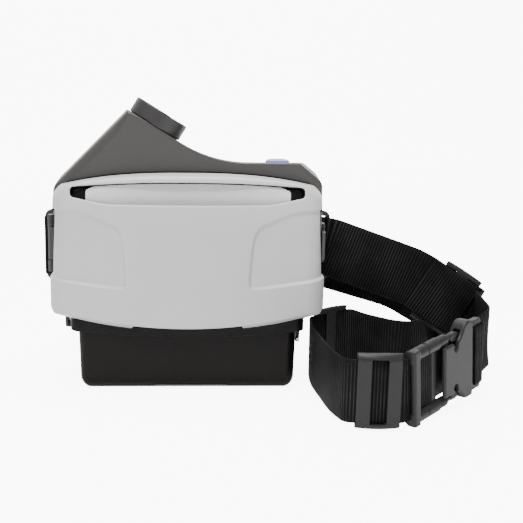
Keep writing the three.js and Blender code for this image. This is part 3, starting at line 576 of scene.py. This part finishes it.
def cover_block(x, y, z):
    """The cover as one solid. Its bottom edge rises to both sides and has a shallow notch in its middle."""
    away = np.abs(x)
    front = COVER_CROWN + COVER_BOW * (x / 94) ** 2 - y
    top = z - COVER_TOP + COVER_ARCH * (away / 100) ** 2.6
    side = away - COVER_HALF + 2.6 * ramp(z, 86, 160)
    brow = sloping(front, top + 14, BROW_FACING)
    foot = sloping(away - COVER_HALF, 66 - z, FOOT_FACING)
    chin = sloping(front, cover_chin(x) - z, CHIN_FACING)
    in_middle = 1 - ramp(away, 42.5, 44.5)
    bottom = cover_chin(x) - 4 + 3.4 * in_middle - z
    face = both(both(front, brow, 14), side, 15)
    face = both(face, top, 2.2 + 7 * ramp(away, 88, 104))
    face = both(face, foot, 2)
    face = both(face, chin, 0.9)
    return both(face, bottom, 0.5)


def cover_recess(x, z):
    """How far the surface lies below the pillow: full depth inside the recess, with a soft bank round it."""
    return RECESS_DEPTH * ramp(-polygon(np.abs(x), z, RECESS), 0, 2.6)


def cover_slot(x, z):
    """The air slot, seen from the front: an arched top, and a bottom that rises to both ends."""
    away = np.abs(x)
    top = z - SLOT_TOP + 4.8 * (away / 91) ** 2.2
    bottom = SLOT_BOTTOM + 5.2 * ramp(away, 60, 98) - z
    return both(both(top, bottom, 1), away - SLOT_HALF, 2.6)


def filter_cover(x, y, z):
    outside = cover_block(x, y, z) + cover_recess(x, z)
    shell = without(outside, outside + WALL)
    shell = both(shell, y - COVER_BACK, 0.6)
    return without(shell, both(cover_slot(x, z), y + 16), 0.8)


def cover_gasket(x, y, z):
    """A black lip that paints shade: it shows as a dark line for the shaded gap between cover and housing,
    left out beside the hinge.
    """
    rim = cover_block(x, -22, z)
    lip = all_of(0.2, rim - 0.8, -1.6 - rim, slab(y, COVER_BACK - 1.2, COVER_BACK + 0.4))
    beside_hinge = both(slab(z, LUGS[0][0] - 4, LUGS[1][1] + 4), 104 - np.abs(x))
    return without(lip, beside_hinge)


def slot_liner(x, y, z):
    """A black strip inside the top and the ends of the slot: painted shade for the slot's inner wall, which
    lies in shadow under its lip.
    """
    opening = cover_slot(x, z)
    depth = cover_block(x, y, z)
    return all_of(0.1, opening - 0.2, -0.9 - opening, slab(depth, -WALL - 2.5, -0.9), 157 - z)


def cover_knuckle(x, y, z):
    return hinge_knuckle(x, y, z, KNUCKLE, (-110, -14.6), (-105, -12.9), 0.4)


def under_cover(x, y, z):
    return cover_block(x, y, z) + WALL + 0.4


def prefilter_pad(x, y, z):
    """The white sheet behind the slot, cut to the arch of the cover above it."""
    high = (pad_high[0], pad_high[1], SHEET_TOP)
    sheet = block(x, y, z, pad_low - [SHEET_EXTRA, 0, 0], high, 0.6)
    return both(sheet, under_cover(x, y, z), 0.6)


def slot_ends(x, y, z):
    """Dark ribbed panels that close the slot beyond both ends of the sheet."""
    left = slab(x, -96, pad_low[0] - SHEET_EXTRA - 0.4)
    right = slab(x, pad_high[0] + 0.4, 96)
    ends = any_of(left, right)
    panel = both(ends, block(x, y, z, (-99, pad_low[1] + 0.6, 148), (99, pad_high[1], SHEET_TOP)))
    pitch = 4.2
    ribs = np.hypot(np.mod(np.abs(x), pitch) - pitch / 2, y - pad_low[1] - 0.4) - 1
    ribs = all_of(0, ribs, ends, slab(z, 149, 178))
    return both(either(panel, ribs, 0.4), under_cover(x, y, z), 0.4)


# ---------- battery ----------
def tub_block(x, y, z):
    """The battery's tub as one solid, a little narrower towards its rounded foot."""
    sides = np.abs(x) - TUB_HALF + 0.03 * (46 - z)
    plan = both(sides, slab(y, tub_low[1], tub_high[1]), 7)
    return both(plan, -z, 10.5)


def battery_tub(x, y, z):
    outside = tub_block(x, y, z)
    hollow = both(outside + WALL, z - 60)
    return both(without(outside, hollow), z - TUB_TOP, 0.4)


def battery_lid(x, y, z):
    """The flange over the tub, with a front lip that follows the chin and a hinge bar at the left."""
    lower_edge = LID_BOTTOM + 5.6 * (x / 93) ** 2
    plan = both(np.abs(x) - lid_high[0], slab(y, lid_low[1], lid_high[1]), 6)
    plate = all_of(0.7, plan, lower_edge - z, z - lid_high[2])
    lip_top = np.maximum(cover_chin(x) - 3.2, lid_high[2])
    lip = all_of(0.6, plan, lower_edge - z, z - lip_top, y + 14)
    plate = either(plate, lip)
    pocket = all_of(2, np.abs(x) - TUB_HALF - 0.5, slab(y, tub_low[1] - GAP, tub_high[1] + GAP), z - 50.8)
    plate = without(plate, pocket, 0.3)
    contacts = block(x, y, z, (7, -6.4, 40), (47, 6.4, 60))
    latch = block(x, y, z, (84.6, -8.3, 30), (100, 8.3, 60))
    from_bar = (x - BATTERY_HINGE[0], z - BATTERY_HINGE[1])
    hook = both(np.hypot(*from_bar) - 6.4, np.abs(y) - 9.6)
    plate = without(plate, any_of(contacts, latch, hook), 0.3)
    return either(plate, rod(*from_bar, y, 1.8, -14, 14), 0.4)


def battery_label(x, y, z):
    """A blank strip on the rounded lower front edge of the tub."""
    skin = tub_block(x, y, z)
    return all_of(0.2, slab(skin, 0.15, 0.6), slab(x, *LABEL_SPAN), slab(z, *LABEL_HEIGHT), y + 18)


# ---------- belt: backplate ----------
def belt_backplate(x, y, z):
    """The plate behind the unit: a pad against the housing, and a slotted wing at each side."""
    away = np.abs(x)
    plate = polygon(away, z, outline([
        (-20, WING_LOW - 10, 0), (100, WING_LOW - 10, 6), (WING_TIP, WING_LOW, 5), (WING_TIP, WING_HIGH, 5),
        (100, WING_HIGH + 4, 6), (-20, WING_HIGH + 4, 0)]))
    slot = all_of(1, slab(away, 105, 115), slab(z, WING_LOW + 3, WING_HIGH - 3))
    plate = both(without(plate, slot), slab(y, WING_FRONT, WING_BACK), 0.9)
    pad = all_of(3, away - 60, slab(z, 86, 134))
    return either(plate, both(pad, slab(y, housing_back + GAP, WING_FRONT + 2), 0.3))


# ---------- belt: webbing ----------
buckle_turn = Matrix.Rotation(BUCKLE_HEADING, 4, "Z") @ Matrix.Rotation(-BUCKLE_TILT, 4, "Y")
SEAM = Vector((*BUCKLE_TIP, 0)) + buckle_turn @ Vector((MALE_LENGTH, 0, 0))
buckle_place = Matrix.Translation(SEAM) @ buckle_turn


def in_buckle(along, out, up=WEB_HEIGHT):
    """A point in the buckle's own frame: along it from the seam, out of its front, and up."""
    return tuple(buckle_place @ Vector((along, -out, up)))


def rounded(before, here, after, reach):
    """Points round a corner of a route, from reach before it to reach after it."""
    start, end = (here + (other - here) * reach / np.linalg.norm(other - here) for other in (before, after))
    return [(1 - t) ** 2 * start + 2 * t * (1 - t) * here + t * t * end for t in np.linspace(0, 1, 9)]


def path(points):
    """Even stations down a route of points (x, y, z, rounding, lean): their places, leans and run so far."""
    padded = [(*p, 0, 0)[:5] for p in points]
    places = [np.array(p[:3], float) for p in padded]
    route, lean_at = [], []
    for i, (here, (*_, rounding, lean)) in enumerate(zip(places, padded)):
        corner = [here]
        if rounding and 0 < i < len(places) - 1:
            neighbours = places[i - 1], places[i + 1]
            shortest = min(np.linalg.norm(here - other) for other in neighbours)
            corner = rounded(neighbours[0], here, neighbours[1], min(rounding, 0.48 * shortest))
        route += corner
        lean_at += [lean] * len(corner)
    route = np.array(route)
    run = np.concatenate([[0], np.cumsum(np.linalg.norm(np.diff(route, axis=0), axis=1))])
    even = np.linspace(0, run[-1], int(run[-1] / 1.5) + 2)
    stations = np.stack([np.interp(even, run, route[:, k]) for k in range(3)], 1)
    leans = np.interp(even, run, lean_at)
    return smoothed(stations), smoothed(leans), even


def smoothed(values, rounds=3):
    """The same stations with their small kinks evened out; the ends stay."""
    values = values.copy()
    for _ in range(rounds):
        values[1:-1] = (values[:-2] + 2 * values[1:-1] + values[2:]) / 4
    return values


def ribbon(name, points, width=WEB_WIDTH, place=None):
    """Webbing along a route. Its width is as upright as the route lets it, then leans as the points say."""
    stations, leans, run = path(points)
    along = np.gradient(stations, axis=0)
    along /= np.linalg.norm(along, axis=1)[:, None]
    upright = np.array([0, 0, 1]) - along * along[:, 2:3]
    upright /= np.linalg.norm(upright, axis=1)[:, None]
    turn = np.radians(leans)[:, None]
    upright = upright * np.cos(turn) + np.cross(along, upright) * np.sin(turn)
    out = np.cross(along, upright)

    edge = WEB_THICK / 2
    flat = width / 2 - edge
    section = []
    for side in (1, -1):
        section += [(side * edge, side * h) for h in np.linspace(-flat, flat, 9)]
        turned = np.radians([45, 90, 135])
        section += [(side * edge * math.cos(a), side * (flat + edge * math.sin(a))) for a in turned]
    count = len(section)
    rings = [stations + out * o + upright * h for o, h in section]
    vertices = np.stack(rings, 1).reshape(-1, 3)
    faces = []
    for s in range(len(stations) - 1):
        for k in range(count):
            a, b = s * count + k, s * count + (k + 1) % count
            faces.append((a, b, b + count, a + count))
    faces.append(tuple(reversed(range(count))))
    faces.append(tuple(range(len(vertices) - count, len(vertices))))
    mesh = bpy.data.meshes.new(name)
    mesh.from_pydata(vertices.tolist(), [], faces)
    mesh.polygons.foreach_set("use_smooth", [True] * len(mesh.polygons))
    for attribute, values in (("run", np.repeat(run, count)),
                              ("across", np.tile([h for o, h in section], len(stations)))):
        mesh.attributes.new(attribute, "FLOAT", "POINT").data.foreach_set("value", values.astype(np.float32))
    mesh.update()
    return add_object(name, mesh, place)


BUCKLE_BEND = in_buckle(-45, 0)
LEFT_STRETCH = [(137, 24.4, WEB_HEIGHT), (100.4, -3.2, WEB_HEIGHT)]
FRONT_STRETCH = [(116, BUCKLE_BEND[1], WEB_HEIGHT), BUCKLE_BEND]
REAR_STRETCH = [(192, 35, 79), (240, 24, 49)]
LEFT_ROUTE = [
    (-119, 32.2, WING_HEIGHT), (-116.5, 32.4, WING_HEIGHT, 1.5), (-103, 44, WING_HEIGHT, 3),
    (104, 47, 96, 12), (184, 52, 71, 14),
    (224, 58, 44, 12, 15), (233, 45, 28, 9, 40), (213, 27, 17, 12, 55), (196, -6, 27, 14, 16),
    (172, -18, WEB_HEIGHT, 14), (148, 6, WEB_HEIGHT, 9), (*LEFT_STRETCH[0], 6), (*LEFT_STRETCH[1], 4),
    (99.5, -34, WEB_HEIGHT, 12), (108, -98, WEB_HEIGHT, 24), (*FRONT_STRETCH[0], 6), (*BUCKLE_BEND, 3),
    in_buckle(-11.2, 0)]
RIGHT_ROUTE = [
    (104, 43.4, WING_HEIGHT), (116.5, 32.4, WING_HEIGHT, 1.5), (*REAR_STRETCH[0], 10), (241.6, 23.6, 48, 3),
    (*in_buckle(86, -6.4, 33), 10), in_buckle(75, -6.4), in_buckle(47, -6.4)]
FOLD_OUT = 4.6
FOLD_ROUTE = [
    in_buckle(45.5, -FOLD_OUT), (*in_buckle(60.6, -FOLD_OUT), 4),
    (*in_buckle(60.6, FOLD_OUT), 4), in_buckle(45.5, FOLD_OUT)]
REAR_WRAP = [
    (-26, -1.6, 0), (-13, -3.2, 0, 4), (-8, -4.1, 0, 3), (8, -4.1, 0, 3), (13, -3.2, 0, 4), (19, -2.4, 0)]


# ---------- belt: sliders and buckle ----------
def slider(x, y, z):
    """A three-bar slider: x along the webbing, y out of its crowned front, z across the webbing."""
    tips = np.abs(z)
    crown = 4.6 - 3.2 * (x / SLIDER_HALF) ** 2 - 0.08 * np.maximum(tips - 23, 0) ** 2
    body = all_of(0.8, np.abs(x) - SLIDER_HALF, tips - SLIDER_HEIGHT / 2, -2.9 - y)
    body = both(body, (y - crown) * 0.92, 0.8)
    between_caps = tips - SLIDER_HEIGHT / 2 + SLIDER_CAP
    channel = both(between_caps, np.abs(y) - 1.1)
    front_window = all_of(0.8, np.abs(x) - 6.2, between_caps, -y)
    rear_windows = all_of(0.8, 5.4 - np.abs(x), between_caps, y)
    return without(body, any_of(channel, front_window, rear_windows), 0.4)


def slider_place(stretch, share, outward):
    """Where a slider stands: its share of the way down a straight stretch, crown to the front or the back."""
    start, end = (Vector(p) for p in stretch)
    along = (end - start) * outward
    turn = Matrix.Rotation(math.atan2(along.y, along.x), 4, "Z")
    tip = Matrix.Rotation(-math.atan2(along.z, math.hypot(along.x, along.y)), 4, "Y")
    return Matrix.Translation(start.lerp(end, share)) @ turn @ tip


def from_edge(z):
    """How far a height is from the nearer of the buckle's two long edges."""
    return BUCKLE_HEIGHT / 2 - np.abs(z - BUCKLE_HEIGHT / 2)


def buckle_male(x, y, z):
    """The male half: barrel rails, a front bar over the webbing, a plate behind it and a bar at the seam."""
    near = from_edge(z)
    barrel_radius = 5
    from_axis = np.hypot(y, near - barrel_radius)
    barrel = both(from_axis - barrel_radius, slab(x, -MALE_LENGTH, -3), 1.2)
    groove = both(slab(x, -20.5, -19), barrel_radius - 0.6 - from_axis)
    barrel = without(barrel, groove)
    front_bar = all_of(1.5, slab(x, -MALE_LENGTH, -32.5), slab(y, -5.8, -1.2), -near)
    plate = all_of(1, slab(x, -30, -4), slab(y, 1.3, 5.2), 2 - near)
    seam_bar = all_of(1, slab(x, -9.6, -3), slab(y, 0, 5.2), 2 - near)
    return any_of(either(barrel, front_bar, 1.5), plate, seam_bar)


def lower_prong(x, y, z):
    """A prong at the buckle's lower edge: a barrel that narrows to a flat, rounded head."""
    radius = 4.2 - 1.9 * ramp(x, 6, 13)
    barrel = both(np.hypot(y, z - 4.9) - radius, slab(x, -2.5, 20), 0.6)
    head = np.hypot(np.maximum(np.abs(x - 19.5) - 2.5, 0), z - 6.2) - 3.3
    return either(barrel, both(head, np.abs(y) - 2.6, 1), 1.5)


def upper_prong(x, y, z):
    return lower_prong(x, y, BUCKLE_HEIGHT - z)


FEMALE_OUTLINE = outline([
    (0.4, 9.2, 1.5), (12, 9.2, 5), (18, 10.5, 6), (24, 7, 4), (29, 0.2, 5), (36, -0.6, 6), (62, 2.2, 3),
    (62, 40, 0), (0.4, 40, 0)])


def buckle_female(x, y, z):
    """The female half: a hollow body with a hooked slot for each prong's head, and a bar for the webbing."""
    raised_arm = 3 * ramp(z, 38, 50) * np.exp(-((x - 34) / 9) ** 2)
    near = from_edge(z) + raised_arm
    body = both(polygon(x, near, FEMALE_OUTLINE), np.abs(y) - 6, 2)
    body = both(body, x - FEMALE_LENGTH, 1.5)
    hollow = all_of(1, slab(y, -3, 3), slab(x, -5, 28), 4 - near)
    hook_top, hook_foot = (20, 2.5), (16.5, 14)
    hook = both(np.abs(line(x, near, hook_top, hook_foot)) - 2.6, slab(near, hook_top[1], hook_foot[1]))
    for (end_x, end_near), radius in ((hook_top, 2.6), (hook_foot, 2.8)):
        hook = either(hook, np.hypot(x - end_x, near - end_near) - radius)
    mouth = both(x - 17, near - 9.4)
    body = without(body, any_of(hollow, hook, mouth), 0.7)
    arms = all_of(0.8, slab(x, 34, 57.6), np.abs(y) - 3, slab(near, 3, 7))
    bar = all_of(1, slab(x, 45.6, 56.8), np.abs(y) - 3, 1 - near)
    return any_of(body, arms, bar)


# ---------- building every piece ----------
# Each piece: its name, distance function, lowest and highest corner, grid step, finish, body and CAD nodes.
# housing_lugs and the four small dark pieces of the cover stand for no CAD node of their own.
PIECES = [
    ("front_housing_shell", front_housing, (-111, -13, 53), (108, SPLIT, 224), 1.0,
     "housing", "unit", "front_housing"),
    ("rear_housing_shell", rear_housing, (-108, SPLIT, 53), (108, 34, 224), 1.2,
     "housing", "unit", "rear_housing"),
    ("housing_lugs", housing_lugs, (-112, -15, 46), (112, 10, 141), 0.6, "collar", "unit"),
    ("air_outlet_collar", outlet_collar, (-60, -14, 190), (8, 38, 234), 0.7,
     "collar", "unit", "outlet_collar"),
    ("power_button_cap", power_button, (61, -4, 174), (82, 8, 186), 0.4, "button", "button", "power_button"),
    ("cover_shell", filter_cover, (-110, -43, 50), (110, -12, 176), 0.85, "cover", "cover", "filter_cover"),
    ("cover_knuckle", cover_knuckle, (-112, -15, 104), (-105, -10, 130), 0.4, "collar", "cover"),
    # A black lip that paints the shade of the gap between cover and housing.
    ("cover_gasket", cover_gasket, (-111, -13, 50), (111, -12, 176), 0.5, "rubber", "cover"),
    # A black strip that paints the shade inside the slot's top and ends.
    ("slot_liner", slot_liner, (-93, -43, 156), (93, -27, 171), 0.45, "rubber", "cover"),
    ("prefilter_sheet", prefilter_pad, pad_low - [SHEET_EXTRA, 0, 0], (pad_high[0], pad_high[1], 176), 0.9,
     "filter", "cover", "prefilter_pad"),
    ("slot_end_panels", slot_ends, (-97, pad_low[1] - 2, 148), (97, pad_high[1], 176), 0.6,
     "rubber", "cover"),
    ("battery_tub_shell", battery_tub, (-88, -30, -1), (88, 29, 51), 0.9,
     "battery", "battery", "battery_tub"),
    ("battery_lid_plate", battery_lid, (-97, -33, 44), (94, 31, 62), 0.65,
     "battery", "battery", "battery_lid"),
    ("blank_label", battery_label, (-27, -30, 1), (33, -18, 5), 0.35, "label", "battery", "battery_label"),
    ("belt_plate", belt_backplate, (-119, 34, 66), (119, 40, 141), 0.9, "collar", "unit", "belt_backplate")]
FACES_KEPT = {"cover_shell": 0.4, "cover_gasket": 0.5, "slot_liner": 0.5, "blank_label": 0.5}
for name, distance, low, high, step, slot, *owners in PIECES:
    dress(shape(name, distance, low, high, step, FACES_KEPT.get(name, 0.35)), slot, *owners)

SLIDER_SPOTS = {
    "front": (FRONT_STRETCH, 0.56, -1), "left": (LEFT_STRETCH, 0.52, -1), "rear": (REAR_STRETCH, 0.57, 1)}
for side, spot in SLIDER_SPOTS.items():
    made = shape(f"belt_slider_{side}", slider, (-17, -3, -29), (17, 4, 29), 0.55, place=slider_place(*spot))
    dress(made, "buckle", f"{side}_slider", f"slider_{side}")

BUCKLE_PIECES = [
    ("buckle_male_half", buckle_male, (-41, -6, 0), (-3, 6, 60), 0.55, "unit", "buckle_male"),
    ("buckle_female_half", buckle_female, (0, -6, -1), (62, 6, 64), 0.55, "female_buckle", "buckle_female"),
    ("buckle_prong_low", lower_prong, (-3, -5, 0), (26, 5, 10), 0.4, "prong_low", "buckle_prong_lower"),
    ("buckle_prong_high", upper_prong, (-3, -5, 50), (26, 5, 60), 0.4, "prong_high", "buckle_prong_upper")]
for name, distance, low, high, step, *owners in BUCKLE_PIECES:
    dress(shape(name, distance, low, high, step, place=buckle_place), "buckle", *owners)

rear_wrap = ribbon("belt_wrap_rear", REAR_WRAP, place=slider_place(*SLIDER_SPOTS["rear"]))
dress(rear_wrap, "webbing", "rear_slider")
dress(ribbon("belt_left", LEFT_ROUTE), "webbing", "unit", "strap_left")
dress(ribbon("belt_fold", FOLD_ROUTE, width=WEB_WIDTH - 0.6), "webbing", "female_buckle", "strap_right_end")
belt_right = dress(ribbon("belt_right", RIGHT_ROUTE), "webbing")
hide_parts("strap_right")
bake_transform(belt_right)

# ---------- CAD nodes that keep their own mesh ----------
slots = {part["node"]: part["material_slot"] for part in frame["record"]["subparts"]}
for node, obj in frame["nodes"].items():
    if obj.hide_render:
        continue
    dress(obj, slots[node])
    softened = obj.modifiers.new("softened edges", "BEVEL")
    softened.width = 0.25 * MM
    softened.segments = 2
    softened.limit_method = "ANGLE"
    softened.angle_limit = math.radians(40)
    obj.modifiers.new("shading", "WEIGHTED_NORMAL")


# ---------- floor, light and camera ----------
# How brightly the floor and the surroundings glow for the camera, in reflections, and as light on the object.
FLOOR_GLOW = 8.0
FLOOR_MIRRORED = 0.4
WORLD_LIGHT = 0.32


def sweep():
    """A pale floor that curves up into a backdrop. It glows for the camera, and faintly in reflections."""
    radius, far, half, tall = 0.6, 1.6, 4.0, 3.0
    profile = [(-4.0, 0.0)]
    for a in np.linspace(0, math.pi / 2, 13):
        profile.append((far + radius * math.sin(a), radius * (1 - math.cos(a))))
    profile.append((far + radius, tall))
    vertices = [(side * half, y, z) for side in (-1, 1) for y, z in profile]
    count = len(profile)
    faces = [(i, i + count, i + count + 1, i + 1) for i in range(count - 1)]
    mesh = bpy.data.meshes.new("studio sweep")
    mesh.from_pydata(vertices, [], faces)
    mesh.polygons.foreach_set("use_smooth", [True] * len(mesh.polygons))
    obj = bpy.data.objects.new("studio_sweep", mesh)
    bpy.context.scene.collection.objects.link(obj)
    white = material("studio white", (0.95, 0.95, 0.95, 1), 0.6, mottle=0)
    nodes, links = white.node_tree.nodes, white.node_tree.links
    seen = nodes.new("ShaderNodeLightPath").outputs
    in_reflections = maths(nodes, links, "MULTIPLY", seen["Is Glossy Ray"], FLOOR_MIRRORED)
    glow = maths(nodes, links, "MULTIPLY_ADD", seen["Is Camera Ray"], FLOOR_GLOW, in_reflections)
    nodes["Principled BSDF"].inputs["Emission Color"].default_value = (1, 1, 1, 1)
    links.new(glow, nodes["Principled BSDF"].inputs["Emission Strength"])
    obj.data.materials.append(white)


def softbox(name, place, target, size, power):
    light = bpy.data.lights.new(name, "AREA")
    light.shape = "RECTANGLE"
    light.size, light.size_y = size
    light.energy = power
    obj = bpy.data.objects.new(name, light)
    obj.location = place
    obj.rotation_euler = (Vector(target) - Vector(place)).to_track_quat("-Z", "Y").to_euler()
    bpy.context.scene.collection.objects.link(obj)


def studio():
    sweep()
    softbox("key", (-0.35, -1.0, 1.9), (0.0, 0, 0.1), (0.7, 0.5), 38)
    softbox("fill", (1.6, -1.0, 0.8), (0.05, 0, 0.1), (1.2, 1.2), 3)
    softbox("top", (0.1, 0.1, 1.7), (0.05, 0, 0.1), (1.2, 0.8), 34)
    softbox("back", (0.0, 1.3, 1.2), (0.0, 2.4, 0.4), (3.0, 1.0), 26)
    world = bpy.data.worlds.new("studio")
    world.use_nodes = True
    nodes, links = world.node_tree.nodes, world.node_tree.links
    nodes["Background"].inputs["Color"].default_value = (1, 1, 1, 1)
    seen = nodes.new("ShaderNodeLightPath").outputs["Is Camera Ray"]
    strength = maths(nodes, links, "MULTIPLY_ADD", seen, FLOOR_GLOW, WORLD_LIGHT)
    links.new(strength, nodes["Background"].inputs["Strength"])
    bpy.context.scene.world = world


def camera():
    """The main view: from one metre in front and a little above, with a slight turn and roll."""
    data = bpy.data.cameras.new("camera")
    data.lens = 86.5
    obj = bpy.data.objects.new("camera", data)
    heading, pitch, roll = math.radians(-3.14), math.radians(-12.5), math.radians(0.9)
    turn = Matrix.Rotation(heading, 4, "Z") @ Matrix.Rotation(math.pi / 2 + pitch, 4, "X")
    turn = turn @ Matrix.Rotation(roll, 4, "Z")
    obj.matrix_world = Matrix.Translation((0.005, -1.0, 0.322)) @ turn
    bpy.context.scene.collection.objects.link(obj)
    bpy.context.scene.camera = obj


studio()
camera()
